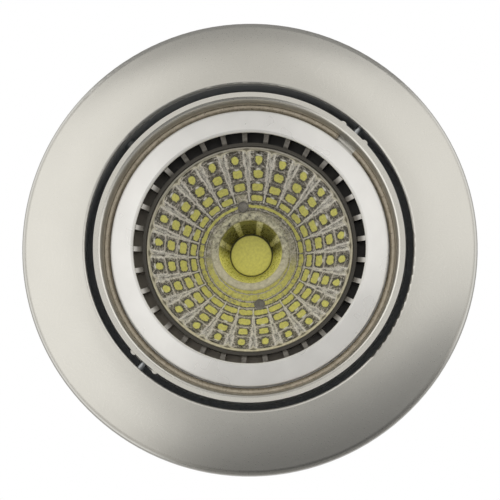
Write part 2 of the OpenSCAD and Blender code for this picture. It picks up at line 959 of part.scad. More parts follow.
// A tube of the given sides swept along a path, with each ring square to the path
module tube(path, r, sides) {
    last = len(path) - 1;
    rings = [
        for (i = [0:last])
            let (d = heading(path, i), u = unit(cross(d, [1, 0.02, 0.03])), v = cross(d, u))
                for (k = [0:sides - 1])
                    path[i] + r * (u * cos(k * 360 / sides) + v * sin(k * 360 / sides))
    ];
    walls = [
        for (i = [0:last - 1], k = [0:sides - 1])
            each [
                [i * sides + k, (i + 1) * sides + k, (i + 1) * sides + (k + 1) % sides],
                [i * sides + k, (i + 1) * sides + (k + 1) % sides, i * sides + (k + 1) % sides]
            ]
    ];
    caps = [
        [for (k = [0:sides - 1]) k],
        [for (k = [0:sides - 1]) last * sides + sides - 1 - k]
    ];
    polyhedron(points = rings, faces = concat(walls, caps));
}

module clip_spring(side) {
    color(zinc)
        at_side(side)
            translate([0, hinge_y, hinge_h])
                tube(spring_path, spring_wire / 2, 6);
}

trim_ring();
pivot_frame();
clip_bracket(-1);  // clip_bracket_left
clip_bracket(1);  // clip_bracket_right
bracket_rivets();
clip_pin(-1);  // clip_pin_left
clip_pin(1);  // clip_pin_right
clip_spring(-1);  // clip_spring_left
clip_spring(1);  // clip_spring_right
clip_arm(-1);  // clip_arm_left
clip_arm(1);  // clip_arm_right
pivot_washers();
pivot_pins();
tilt_ring();
lamp_circlip();
lamp_front_ring();
lamp_heat_sink();
lamp_lens();
board_screws();
led_board();
led_emitter();
lamp_base();
driver_board();
driver_parts();
lamp_pins();
holder_body();
holder_contacts();
holder_cover();
holder_rivets();
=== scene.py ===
"""Dresses a recessed soffit downlight: nickel trim, tilting ring, LED lamp and its fixings."""
import math
from functools import partial

import bpy
import numpy as np
from mathutils import Matrix, Vector


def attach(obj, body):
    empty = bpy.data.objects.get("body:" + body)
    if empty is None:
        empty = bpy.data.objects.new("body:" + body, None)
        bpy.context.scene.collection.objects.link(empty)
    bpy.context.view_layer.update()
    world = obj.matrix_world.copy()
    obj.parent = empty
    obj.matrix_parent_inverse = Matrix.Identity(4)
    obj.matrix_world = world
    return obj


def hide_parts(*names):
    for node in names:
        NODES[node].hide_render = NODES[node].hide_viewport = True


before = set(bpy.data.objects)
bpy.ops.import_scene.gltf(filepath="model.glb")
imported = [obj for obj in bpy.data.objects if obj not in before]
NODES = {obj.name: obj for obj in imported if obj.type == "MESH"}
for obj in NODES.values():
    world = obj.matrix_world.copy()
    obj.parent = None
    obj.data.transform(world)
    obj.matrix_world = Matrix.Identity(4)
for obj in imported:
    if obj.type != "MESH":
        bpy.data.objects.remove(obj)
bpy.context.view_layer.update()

bl_info = {
    "name": "Soffit downlight",
    "version": (1, 0, 0),
    "blender": (4, 5, 0),
    "location": "View3D > Sidebar > Downlight",
    "description": "Finishes and fine pieces of a recessed soffit downlight",
    "category": "Add Mesh",
}

MM = 0.001

# Shared with the solid model: lengths in millimetres, counts, and angles about the axis
TRIM_R = 41.0
CUP_R = 30.1
CUP_TOP = 13.0
FIN_R = 23.6
BARREL_R = 19.3
EMITTER_R = 3.6
SCREW_AT = 9.05
SCREW_ANGLE = math.radians(-52)
COLUMNS = 24
FINS = 33
FIN_TURN = math.radians(-45)
HINGE_Y = 33.5
HINGE_Z = 26.0


# ---- Colours, nodes and meshes ----

def linear(code):
    """An sRGB hex colour as linear RGBA."""
    parts = [int(code[i:i + 2], 16) / 255 for i in (1, 3, 5)]
    return [c / 12.92 if c <= 0.04045 else ((c + 0.055) / 1.055) ** 2.4 for c in parts] + [1.0]


def shade(colour, factor):
    """A linear colour times a factor, with its alpha."""
    return [c * factor for c in colour[:3]] + [1.0]


def add_node(tree, kind, *inputs, out=0, **settings):
    """Adds a shader node with its settings and links, and returns one of its outputs. Inputs come
    in order, or in a dict by name or number: values, hex colours, or sockets to link from. The
    kind may carry the node's operation, as in "Math ADD"."""
    kind, _, operation = kind.partition(" ")
    made = tree.nodes.new("ShaderNode" + kind)
    if operation:
        made.operation = operation
    for name, value in settings.items():
        setattr(made, name, value)
    by_name = inputs and isinstance(inputs[0], dict)
    for name, value in inputs[0].items() if by_name else enumerate(inputs):
        if isinstance(value, bpy.types.NodeSocket):
            tree.links.new(value, made.inputs[name])
        else:
            made.inputs[name].default_value = linear(value) if isinstance(value, str) else value
    return made.outputs[out] if len(made.outputs) else None


# A Mix node set to colours: input 0 is its factor, 6 and 7 are its ends
COLOUR = {"data_type": "RGBA", "out": 2}
# Noise hardly leaves this range, so it is spread from here
SPREAD = (0.3, 0.7)


def new_material(name):
    """An empty material, the function that adds nodes to it, and the object's coordinates. These
    are in metres, so a pattern's scale is 1000 over its size in millimetres."""
    material = bpy.data.materials.new(name)
    material.use_nodes = True
    material.node_tree.nodes.clear()
    node = partial(add_node, material.node_tree)
    return material, node, node("TexCoord", out="Object")


def finish_material(node, sockets):
    """Ends a material with its shader."""
    node("OutputMaterial", {"Surface": node("BsdfPrincipled", sockets)})


def mottled(node, noise, low, high):
    """Two tones, blotched by a noise."""
    return node("Mix", {0: node("MapRange", noise, *SPREAD), 6: low, 7: high}, **COLOUR)


def product(node, *factors):
    """Where several patterns overlap."""
    result = factors[0]
    for factor in factors[1:]:
        result = node("Math MULTIPLY", result, factor)
    return result


def line_at(node, value, place, half_width):
    """1 where value is at place, falling to 0 at half_width from it."""
    away = node("Math ABSOLUTE", node("Math SUBTRACT", value, place))
    return node("MapRange", away, half_width, half_width * 0.3)


def from_axis(node, coords):
    """The distance from the light's axis."""
    flat = node("VectorMath MULTIPLY", coords, (1, 1, 0))
    return node("VectorMath LENGTH", flat, out="Value")


def lowness(node, coords, up):
    """0 on the side of the axis that up points to, 1 on the other side."""
    along = node("VectorMath DOT_PRODUCT", coords, up, out="Value")
    return node("MapRange", node("Math DIVIDE", along, from_axis(node, coords)), 1.0, -1.0)


def mesh_object(name, vertices_mm, faces, smooth=True):
    mesh = bpy.data.meshes.new(name)
    mesh.from_pydata([[c * MM for c in v] for v in vertices_mm], [], faces)
    if smooth:
        mesh.shade_smooth()
    made = bpy.data.objects.new(name, mesh)
    bpy.context.scene.collection.objects.link(made)
    return made


def add_uv(made, layer_name, places):
    """Gives each corner of a mesh its place on a UV map."""
    layer = made.data.uv_layers.new(name=layer_name)
    for i, place in enumerate(places):
        layer.data[i].uv = place


def lathe(name, profile, closed=False, steps=192):
    """Turns a profile of radius and height points about Z."""
    turns = [2 * math.pi * k / steps for k in range(steps)]
    vertices = [[r * math.cos(a), r * math.sin(a), z] for r, z in profile for a in turns]
    rows = len(profile) if closed else len(profile) - 1
    faces = []
    for i in range(rows):
        here, ahead = i * steps, (i + 1) % len(profile) * steps
        for k in range(steps):
            after = (k + 1) % steps
            faces.append([here + k, here + after, ahead + after, ahead + k])
    return mesh_object(name, vertices, faces)


def tube(name, points, radius, sides=14):
    """A round wire along points, with closed ends."""
    path = [Vector(p) for p in points]
    side = None
    vertices = []
    for i, here in enumerate(path):
        ahead = (path[min(i + 1, len(path) - 1)] - path[max(i - 1, 0)]).normalized()
        if side is None:
            side = ahead.orthogonal().normalized()
        side = (side - ahead * side.dot(ahead)).normalized()
        other = ahead.cross(side)
        for k in range(sides):
            a = 2 * math.pi * k / sides
            vertices.append(here + radius * (side * math.cos(a) + other * math.sin(a)))
    last = (len(path) - 1) * sides
    faces = []
    for here in range(0, last, sides):
        for k in range(sides):
            after = (k + 1) % sides
            faces.append([here + k, here + after, here + sides + after, here + sides + k])
    faces += [list(range(sides))[::-1], list(range(last, last + sides))]
    return mesh_object(name, vertices, faces)


def finish_node(name, material):
    """Gives a solid of the model its material."""
    node = NODES[name]
    node.data.materials.clear()
    node.data.materials.append(material)


def add_piece(piece, body, material, replaces=()):
    """Puts a piece on its body, with its material and the solids it stands for."""
    piece.data.materials.append(material)
    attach(piece, body)
    if replaces:
        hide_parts(*replaces)


# ---- Materials ----

def satin_nickel_plate(name, colour):
    """Satin nickel on a die casting: blasted before plating, so it blurs what it mirrors. The
    colour is darker in a thin line round the outermost edge."""
    material, node, coords = new_material(name)
    cloud = node("TexNoise", {"Vector": coords, "Scale": 1000 / 9, "Detail": 3})
    # blasting leaves a grain too fine to show, so it is drawn as coarse as 0.16 mm
    grain = node("TexNoise", {"Vector": coords, "Scale": 1000 / 0.16})
    plate = mottled(node, cloud, shade(colour, 0.97), shade(colour, 1.0))
    edge = node(
        "MapRange", from_axis(node, coords), (TRIM_R - 0.28) * MM, (TRIM_R - 0.14) * MM, 0, 0.75)
    finish_material(node, {
        "Base Color": node("Mix", {0: edge, 6: plate, 7: "#6B675F"}, **COLOUR),
        "Metallic": 1.0,
        "Roughness": node("MapRange", grain, *SPREAD, 0.27, 0.32),
        "Normal": node("Bump", {"Height": grain, "Distance": 0.0008 * MM, "Strength": 0.5}),
    })
    return material


def black_powder_coat():
    """Black powder coat on pressed steel: a fine orange peel with a dull shine. Inside the cup the
    coat is painted a lighter grey as painted light, so it doesn't look quite black through the gap."""
    material, node, coords = new_material("black_powder_coat")
    peel = node("TexNoise", {"Vector": coords, "Scale": 1000 / 0.5})
    height = node("SeparateXYZ", coords, out="Z")
    # painted light: inside the cup, seen through the gap, the coat is drawn a lighter grey than
    # outside
    painted_light_mask = product(
        node,
        node("MapRange", from_axis(node, coords), (CUP_R + 0.5) * MM, (CUP_R + 0.2) * MM),
        node("MapRange", height, (CUP_TOP - 0.2) * MM, (CUP_TOP - 0.6) * MM))
    outer = mottled(node, peel, "#303134", "#404145")
    painted_light_grey = mottled(node, peel, "#72767B", "#83878C")
    finish_material(node, {
        "Base Color": node("Mix", {0: painted_light_mask, 6: outer, 7: painted_light_grey}, **COLOUR),
        "Metallic": 0.0,
        "Roughness": node("MapRange", peel, *SPREAD, 0.38, 0.5),
        "Normal": node("Bump", {"Height": peel, "Distance": 0.02 * MM, "Strength": 0.5}),
    })
    return material


def bright_zinc_plate(name="bright_zinc_plate", low="#A9ADAF", high="#C3C6C8"):
    """Bright zinc plate on steel: cool grey with a faint cloudy spangle."""
    material, node, coords = new_material(name)
    spangle = node("TexNoise", {"Vector": coords, "Scale": 1000 / 1.6, "Detail": 3})
    # handling marks are finer than this, and are drawn as coarse as they need to be to show
    scratch = node("TexNoise", {"Vector": coords, "Scale": 1000 / 0.2})
    finish_material(node, {
        "Base Color": mottled(node, spangle, low, high),
        "Metallic": 1.0,
        "Roughness": node("MapRange", spangle, *SPREAD, 0.24, 0.38),
        "Normal": node("Bump", {"Height": scratch, "Distance": 0.004 * MM, "Strength": 0.5}),
    })
    return material


def drawn_spring_wire():
    """Stainless spring wire, drawn: bright, with faint cloudy marks from the die."""
    return bright_zinc_plate("drawn_spring_wire", "#9FA1A2", "#C6C8C9")


def dulled_zinc_plate():
    """Zinc plate under the lens, dulled by heat: grey-brown screw heads."""
    return bright_zinc_plate("dulled_zinc_plate", "#59564F", "#918D85")


def turned_aluminium():
    """Aluminium, turned and lacquered: nearly white, with a soft mirror."""
    material, node, coords = new_material("turned_aluminium")
    cloud = node("TexNoise", {"Vector": coords, "Scale": 1000 / 6})
    finish_material(node, {
        "Base Color": mottled(node, cloud, "#ECEBE8", "#F5F4F1"),
        "Metallic": 0.3,
        "Roughness": node("MapRange", cloud, *SPREAD, 0.26, 0.32),
    })
    return material


def cast_aluminium():
    """Aluminium, cast and darkened: grey fins, and pockets between them painted dark as painted
    shade.
    """
    material, node, coords = new_material("cast_aluminium")
    grit = node("TexNoise", {"Vector": coords, "Scale": 1000 / 0.35, "Detail": 3})
    height = node("SeparateXYZ", coords, out="Z")
    radius = from_axis(node, coords)
    # painted shade: the pockets between the fins are drawn dark
    pocket = product(
        node,
        node("MapRange", height, 2.4 * MM, 3.4 * MM),
        node("Math LESS_THAN", height, 5.6 * MM),
        node("Math LESS_THAN", radius, (FIN_R - 0.7) * MM))
    # the barrel's front face is darker than the fins
    front = product(
        node,
        node("Math LESS_THAN", height, -0.7 * MM),
        node("Math LESS_THAN", radius, (BARREL_R + 0.2) * MM))
    face = mottled(node, grit, "#77736C", "#8D8982")
    face = node("Mix", {0: front, 6: face, 7: "#4C4943"}, **COLOUR)
    finish_material(node, {
        "Base Color": node("Mix", {0: pocket, 6: face, 7: "#4A4744"}, **COLOUR),
        "Metallic": 0.55,
        "Roughness": node("MapRange", grit, *SPREAD, 0.42, 0.6),
        "Normal": node("Bump", {"Height": grit, "Distance": 0.03 * MM, "Strength": 0.6}),
    })
    return material


def vent_casting(away, right):
    """The same casting down in the vents: a floor between paler ribs, painted brownish black as
    painted shade. Painted light lightens the floor on the side that away points from, where the
    light reaches it."""
    material, node, coords = new_material("vent_casting")
    grit = node("TexNoise", {"Vector": coords, "Scale": 1000 / 0.5, "Detail": 3})
    part = node("SeparateXYZ", node("UVMap", uv_map="ribs")).node.outputs
    rib, outward = part["X"], part["Y"]
    # painted light and shade on the floor, set by which side of the axis it lies on
    lit = node("MapRange", lowness(node, coords, away), 0.5, 0.85)
    floor = node("Mix", {0: lit, 6: "#2A2826", 7: "#857E73"}, **COLOUR)
    # painted glints at the outer ends of the ribs to the left and right of the light
    sideways = node(
        "Math ABSOLUTE", node("Math SUBTRACT", lowness(node, coords, right), 0.5))
    painted_glint = product(
        node, node("MapRange", outward, 0.35, 0.75), node("MapRange", sideways, 0.3, 0.42), 0.9)
    edge = mottled(node, grit, "#66625B", "#86827A")
    edge = node("Mix", {0: painted_glint, 6: edge, 7: "#F1EEE8"}, **COLOUR)
    finish_material(node, {
        "Base Color": node("Mix", {0: rib, 6: floor, 7: edge}, **COLOUR),
        "Metallic": 0.2,
        "Roughness": node("MapRange", grit, *SPREAD, 0.35, 0.55),
        "Normal": node("Bump", {"Height": grit, "Distance": 0.02 * MM, "Strength": 0.5}),
    })
    return material


def passivated_wire():
    """Spring wire with yellow-passivated zinc: a dull tan metal with darker streaks and scuffs."""
    material, node, coords = new_material("passivated_wire")
    streak = node("TexNoise", {"Vector": coords, "Scale": 1000 / 0.9, "Detail": 3})
    wire = mottled(node, streak, "#AFA592", "#CBC1AF")
    speck = node("TexNoise", {"Vector": coords, "Scale": 1000 / 0.35})
    scuff = node("MapRange", speck, 0.6, 0.66, 0, 0.55)
    finish_material(node, {
        "Base Color": node("Mix", {0: scuff, 6: wire, 7: "#6E6557"}, **COLOUR),
        "Metallic": 0.75,
        "Roughness": node("MapRange", streak, *SPREAD, 0.35, 0.5),
        "Normal": node("Bump", {"Height": streak, "Distance": 0.01 * MM, "Strength": 0.4}),
    })
    return material


def phosphor_silicone(colour):
    """Silicone filled with phosphor: matt, chalky yellow-green, faintly mottled, with a shaded
    edge where it meets its dam."""
    material, node, coords = new_material("phosphor_silicone")
    chalk = node("TexNoise", {"Vector": coords, "Scale": 1000 / 0.45, "Detail": 4})
    face = mottled(node, chalk, shade(colour, 0.78), shade(colour, 0.94))
    edge = node(
        "MapRange", from_axis(node, coords), (EMITTER_R + 0.02) * MM, (EMITTER_R + 0.16) * MM)
    finish_material(node, {
        "Base Color": node("Mix", {0: edge, 6: face, 7: "#3F3E1E"}, **COLOUR),
        "Metallic": 0.0,
        "Roughness": 0.6,
        "Normal": node("Bump", {"Height": chalk, "Distance": 0.03 * MM, "Strength": 0.4}),
    })
    return material


def plain_moulding(name, low, high, roughness, grain_mm, depth_mm):
    """A moulded or coated surface: two close tones, a soft shine and a fine grain. The real grain
    is mostly too fine to show, so grain_mm is as coarse as it needs to be."""
    material, node, coords = new_material(name)
    cloud = node("TexNoise", {"Vector": coords, "Scale": 1000 / 5})
    grain = node("TexNoise", {"Vector": coords, "Scale": 1000 / grain_mm})
    finish_material(node, {
        "Base Color": mottled(node, cloud, low, high),
        "Roughness": node("MapRange", grain, *SPREAD, roughness - 0.05, roughness + 0.05),
        "Normal": node("Bump", {"Height": grain, "Distance": depth_mm * MM, "Strength": 0.5}),
    })
    return material


def unglazed_steatite():
    """Pressed steatite, unglazed: off-white, matt and slightly sandy."""
    return plain_moulding("unglazed_steatite", "#DEDACE", "#E9E6DC", 0.62, 0.35, 0.03)


def moulded_pbt():
    """Glass-filled PBT, moulded: ivory with a soft shine and a fine spark-eroded grain."""
    return plain_moulding("moulded_pbt", "#DFDCD0", "#E8E5DB", 0.38, 0.3, 0.012)


def white_solder_resist():
    """White solder resist on an aluminium-core board: smooth and glossy."""
    return plain_moulding("white_solder_resist", "#DAD8D0", "#E4E2DA", 0.3, 0.5, 0.004)


def green_solder_resist():
    """Green solder resist on glass fibre: glossy and slightly uneven."""
    return plain_moulding("green_solder_resist", "#235537", "#2F6B45", 0.28, 0.5, 0.008)


def moulded_epoxy():
    """Black moulded epoxy of chips and coils: matt with a fine grain."""
    return plain_moulding("moulded_epoxy", "#202226", "#2C2F34", 0.5, 0.25, 0.01)


def rolled_brass():
    """Brass, rolled and bare: warm, with brown clouds of tarnish."""
    material, node, coords = new_material("rolled_brass")
    tarnish = node("TexNoise", {"Vector": coords, "Scale": 1000 / 2.5, "Detail": 4})
    finish_material(node, {
        "Base Color": mottled(node, tarnish, "#B08A3E", "#D6B35E"),
        "Metallic": 1.0,
        "Roughness": node("MapRange", tarnish, *SPREAD, 0.42, 0.24),
    })
    return material


def faceted_acrylic(phosphor, up):
    """Clear acrylic, moulded in facets over the light source. Each facet's reflection of the
    phosphor is painted as a yellow-green spot in a dark pocket; the solid ribs between the columns
    stay pale.
    The mesh's UV map counts columns along U and rows of facets, from the well out, along V."""
    material, node, coords = new_material("faceted_acrylic")
    low = lowness(node, coords, up)
    # the facets' lines wander by a tenth of a facet or two, as seen through the clear front
    wander = node(
        "TexNoise", {"Vector": coords, "Scale": 1000 / 0.7, "Detail": 3, "Roughness": 0.65},
        out="Color")
    shaken = node(
        "VectorMath MULTIPLY_ADD", node("VectorMath SUBTRACT", wander, (0.5, 0.5, 0.5)),
        (0.14, 0.28, 0), node("UVMap", uv_map="facets"))
    parts = node("SeparateXYZ", shaken).node.outputs
    column, row = parts["X"], parts["Y"]
    row_middle = node("Math ADD", node("Math FLOOR", row), 0.5)
    chance = node(
        "TexWhiteNoise", {"Vector": node("CombineXYZ", node("Math FLOOR", column), row_middle)})
    # 0 in the middle of a facet and 1 on the line to the next; outward is -1 on its inner line
    side = product(node, node("Math ABSOLUTE", node(
        "Math SUBTRACT", node("Math FRACT", column), 0.5)), 2.0)
    outward = product(node, node("Math SUBTRACT", node("Math FRACT", row), 0.5), 2.0)
    rise = node("Math ABSOLUTE", outward)

    # spots: narrow at the rim, nearly joined by the well, and whole rings in the innermost rows
    is_ring = node("Math LESS_THAN", row, 2.0)
    is_third = product(
        node, node("Math LESS_THAN", row, 3.0), node("Math SUBTRACT", 1.0, is_ring))
    is_bowl = node("Math SUBTRACT", 1.0, node("Math MAXIMUM", is_ring, is_third))
    in_facets = node("Math LESS_THAN", row, 7.0)
    thin_ring = product(node, is_third, node("MapRange", low, 0.34, 0.22))
    reach = node("Math ADD", node("MapRange", row_middle, 2.5, 6.5, 0.9, 0.29), product(
        node, node("MapRange", low, 0.5, 0.9), node("MapRange", row_middle, 5.5, 2.5, 0.0, 0.22)))
    reach = node(
        "Math ADD", reach, product(node, node("Math ADD", is_ring, thin_ring), 4.0))
    tall = node(
        "Math SUBTRACT", node("Math ADD", 0.58, product(node, is_ring, 0.24)),
        product(node, thin_ring, 0.22))
    squareness = node("MapRange", row_middle, 4.5, 6.5, 4.5, 2.2)
    shape = node(
        "Math ADD",
        node("Math POWER", node("Math DIVIDE", side, reach), squareness),
        node("Math POWER", node("Math DIVIDE", rise, tall), squareness))
    shown = node("Math SUBTRACT", 1.0, product(node, is_ring, node("MapRange", low, 0.7, 0.5)))
    # no spots where the board's two screws show instead
    from_screw = node("Math PINGPONG", node("Math SUBTRACT", column, 0.5), COLUMNS / 2)
    at_screw = product(
        node, line_at(node, from_screw, 0.0, 0.6), node("Math LESS_THAN", row, 4.0),
        node("Math GREATER_THAN", row, 2.0))
    spot = product(
        node, node("MapRange", shape, 1.25, 0.75), shown, in_facets,
        node("Math LESS_THAN", at_screw, 0.5))
    # the inner rows' image is broken up by clear patches, except on the side of the light
    inner_rows = product(
        node, node("Math LESS_THAN", row, 3.0), node("MapRange", low, 0.25, 0.5))
    patches = node(
        "TexNoise", {"Vector": coords, "Scale": 1000 / 0.8, "Detail": 3, "Roughness": 0.65})
    cleared = product(node, inner_rows, node("MapRange", patches, 0.53, 0.6), 0.55)
    spot = product(node, spot, node("Math SUBTRACT", 1.0, cleared))

    # pockets, darkest round the spot and at the outer end
    streaks = node(
        "TexNoise", {"Vector": coords, "Scale": 1000 / 0.3, "Detail": 4, "Roughness": 0.8})
    # flow lines that run outward, 0.25 mm wide and some 2 mm long, as seen in the solid ribs
    flow = node("TexNoise", {
        "Vector": node("CombineXYZ", column, product(node, row, 0.14)), "Scale": 13,
        "Detail": 3, "Roughness": 0.7})
    glassy = node("MapRange", node("Math ADD", flow, streaks), 0.8, 1.25)
    pocket = node("Mix", {0: glassy, 6: "#2B2722", 7: "#C4BDB1"}, **COLOUR)
    plain = node("Math MAXIMUM", is_ring, node("MapRange", at_screw, 0.4, 0.6))
    pocket = node(
        "Mix", {0: plain, 6: pocket, 7: mottled(node, streaks, "#7F7963", "#EDE7D0")}, **COLOUR)
    pocket = node("Mix", {0: product(node, chance, 0.35), 6: pocket, 7: "#1F1C18"}, **COLOUR)
    # refracted lines that cross the pockets
    cells = node(
        "TexVoronoi", {"Vector": coords, "Scale": 1000 / 1.3}, out="Distance",
        feature="DISTANCE_TO_EDGE")
    crack = product(node, node("MapRange", cells, 0.08, 0.02), 0.6)
    pocket = node("Mix", {0: crack, 6: pocket, 7: "#F0E9DD"}, **COLOUR)
    outline = product(
        node, node("MapRange", shape, 4.2, 1.4), 0.75, node("Math SUBTRACT", 1.0, plain),
        node("Math SUBTRACT", 1.0, product(node, inner_rows, 0.55)))
    end = product(node, node("MapRange", outward, 0.6, 0.8), in_facets, 0.65)
    dark = node("Math MAXIMUM", outline, end)
    colour = node("Mix", {0: dark, 6: pocket, 7: "#25221E"}, **COLOUR)

    # ribs, with a painted highlight along each side, and painted highlight lines between the rows
    # except at the top
    glassy = node("MapRange", node("Math ADD", flow, product(node, streaks, 0.5)), 0.6, 0.92)
    rib = node("Mix", {0: glassy, 6: "#544F48", 7: "#F5F1E8"}, **COLOUR)
    rib_from = node("MapRange", row_middle, 3.0, 6.5, 0.96, 0.67)
    past = node("Math SUBTRACT", side, rib_from)
    seam = product(
        node, node("MapRange", rise, 0.82, 0.94), node("MapRange", low, 0.15, 0.4, 0.2, 0.9),
        node("MapRange", chance, 0.0, 1.0, 0.5, 1.0), node("Math LESS_THAN", row, 6.7))
    colour = node("Mix", {0: seam, 6: colour, 7: "#E4DDD1"}, **COLOUR)
    colour = node("Mix", {0: node("MapRange", past, -0.02, 0.05), 6: colour, 7: rib}, **COLOUR)
    painted_edge_highlight = product(
        node, line_at(node, past, 0.07, 0.13), is_bowl,
        node("MapRange", streaks, *SPREAD, 0.3, 1.0))
    colour = node("Mix", {0: painted_edge_highlight, 6: colour, 7: "#FBF6EC"}, **COLOUR)

    # rounded arch over each column, and the flange outside it
    arch = node("Math ADD", row, product(node, node("Math POWER", side, 3.0), 0.8))
    colour = node(
        "Mix", {0: node("MapRange", arch, 7.75, 7.85), 6: colour, 7: "#7F7A6C"}, **COLOUR)
    colour = node("Mix", {0: line_at(node, arch, 7.75, 0.3), 6: colour, 7: "#D8D2BF"}, **COLOUR)

    chalk = node("TexNoise", {"Vector": coords, "Scale": 1000 / 0.5})
    yellow = mottled(node, chalk, shade(phosphor, 0.74), shade(phosphor, 0.95))
    colour = node("Mix", {0: spot, 6: colour, 7: yellow}, **COLOUR)
    glint = product(
        node, node("MapRange", side, 0.3, 0.12), line_at(node, outward, 0.72, 0.2),
        node("Math GREATER_THAN", chance, 0.45), is_bowl, in_facets)
    finish_material(node, {
        "Base Color": node("Mix", {0: glint, 6: colour, 7: "#F4F2EA"}, **COLOUR),
        "Metallic": 0.0,
        "Roughness": node("MapRange", streaks, *SPREAD, 0.18, 0.4),
        "Specular IOR Level": 0.35,
        "Coat Weight": 0.2,
        "Coat Roughness": 0.1,
        "Normal": node("Bump", {"Height": streaks, "Distance": 0.05 * MM, "Strength": 0.35}),
    })
    return material


def frosted_acrylic(up):
    """Acrylic with an eroded finish: pale grey and blurred, streaked with darker reflections on
    the side away from the light."""
    material, node, coords = new_material("frosted_acrylic")
    streaks = node(
        "TexNoise", {"Vector": coords, "Scale": 1000 / 0.7, "Detail": 4, "Roughness": 0.7})
    frost = node("MapRange", lowness(node, coords, up), 0.4, 0.75)
    glassy = mottled(node, streaks, "#2F2C24", "#D3CEAF")
    frosted = mottled(node, streaks, "#A69F82", "#CDC7A8")
    finish_material(node, {
        "Base Color": node("Mix", {0: frost, 6: glassy, 7: frosted}, **COLOUR),
        "Roughness": 0.42,
        "Normal": node("Bump", {"Height": streaks, "Distance": 0.04 * MM, "Strength": 0.4}),
    })
    return material


def moulded_flange(up):
    """The lens's outer edge: a light line, with a painted yellow reflection of the light source on
    its low side.
    """
    material, node, coords = new_material("moulded_flange")
    grain = node("TexNoise", {"Vector": coords, "Scale": 1000 / 0.4})
    # painted reflection: the edge turns yellow on the low side
    painted_yellow_reflection = node("MapRange", lowness(node, coords, up), 0.1, 0.9)
    tint = node("Mix", {0: painted_yellow_reflection, 6: "#A9A497", 7: "#DCD4B2"}, **COLOUR)
    grime = node("MapRange", grain, *SPREAD, 0, 0.35)
    finish_material(node, {
        "Base Color": node("Mix", {0: grime, 6: tint, 7: "#6E6A60"}, **COLOUR),
        "Roughness": 0.4,
    })
    return material


def clear_skin():
    """The polished front of the acrylic: all but invisible, with a faint gloss."""
    material, node, coords = new_material("clear_acrylic_skin")
    haze = node("TexNoise", {"Vector": coords, "Scale": 1000 / 3})
    finish_material(node, {
        "Base Color": mottled(node, haze, "#8F918C", "#B4B5B0"),
        "Roughness": 0.06,
        "IOR": 1.49,
        "Alpha": 0.035,
    })
    return material


def tinted_acrylic_wall(phosphor, up):
    """The wall of the lens's well: olive windows between pale pillars on one side, and on the other
    a painted mirror image of the phosphor, which also glows faintly as painted light."""
    material, node, coords = new_material("tinted_acrylic_wall")
    place = node("SeparateXYZ", coords).node.outputs
    turn = node("Math ARCTAN2", place["Y"], place["X"])
    # eight pillars, one of them 24.5 degrees clockwise of +X
    wave = node("Math COSINE", product(
        node, node("Math ADD", turn, math.radians(24.5)), 8.0))
    streaks = node("TexNoise", {"Vector": coords, "Scale": 1000 / 0.5, "Detail": 3})
    window = node("Mix", {
        0: node("MapRange", wave, 0.55, 0.8), 6: mottled(node, streaks, "#37361A", "#7E7B45"),
        7: mottled(node, streaks, "#C2BE94", "#EAE6C0")}, **COLOUR)
    image = mottled(node, streaks, shade(phosphor, 0.9), shade(phosphor, 1.0))
    low_side = node("MapRange", lowness(node, coords, up), 0.4, 0.6)
    finish_material(node, {
        "Base Color": node("Mix", {0: low_side, 6: window, 7: image}, **COLOUR),
        "Metallic": 0.0,
        "Roughness": node("MapRange", streaks, *SPREAD, 0.2, 0.4),
        "Coat Weight": 0.3,
        # painted glow: the phosphor's image also emits a faint light, though the lamp is off
        "Emission Color": node("Mix", {0: low_side, 6: "#000000", 7: image}, **COLOUR),
        "Emission Strength": 0.12,
    })
    return material


# ---- Settings that a user would change ----

def colour_prop(name, description, code):
    return bpy.props.FloatVectorProperty(
        name=name, description=description, subtype="COLOR", size=3, min=0, max=1,
        default=linear(code)[:3])


def length_prop(name, description, metres):
    return bpy.props.FloatProperty(
        name=name, description=description, default=metres, unit="LENGTH", subtype="DISTANCE")


class DownlightFinish(bpy.types.PropertyGroup):
    """Colours of the downlight's finishes."""
    nickel: colour_prop("Nickel", "Colour of the satin nickel plate", "#D6D4CD")
    phosphor: colour_prop("Phosphor", "Colour of the light source and its reflections", "#F6F184")


class DownlightStage(bpy.types.PropertyGroup):
    """Where the camera and the floor stand."""
    distance: length_prop("Camera distance", "From the trim's face to the camera", 0.9)
    across: length_prop("Picture width", "Width that the picture takes in at the trim", 0.09)
    floor: length_prop("Floor", "Depth of the floor below the soffit", 2.4)
    turn: bpy.props.FloatProperty(
        name="Camera turn", description="Turn of the picture about the light's axis",
        default=math.radians(47.5), unit="ROTATION")


# ---- Stage ----

FLOOR_WIDTH = 30.0


def picture_axes(turn):
    """The directions that lie right and up in the picture."""
    right = Vector((math.cos(turn), math.sin(turn), 0))
    up = Vector((math.sin(turn), -math.cos(turn), 0))
    return right, up


def rectangle(name, across, along, height=0.0):
    """One flat face about the light's axis, with its two sizes and its height in metres."""
    x, y, z = across / 2 / MM, along / 2 / MM, height / MM
    return mesh_object(name, [(-x, -y, z), (x, -y, z), (x, y, z), (-x, y, z)], [[0, 1, 2, 3]])


def aim(item, place, up):
    """Puts an item at a place, facing the light fitting, with its top up."""
    away = place.normalized()
    sideways = up.cross(away).normalized()
    item.location = place
    item.rotation_mode = "QUATERNION"
    item.rotation_quaternion = Matrix(
        np.array([sideways, away.cross(sideways), away]).T.tolist()).to_quaternion()


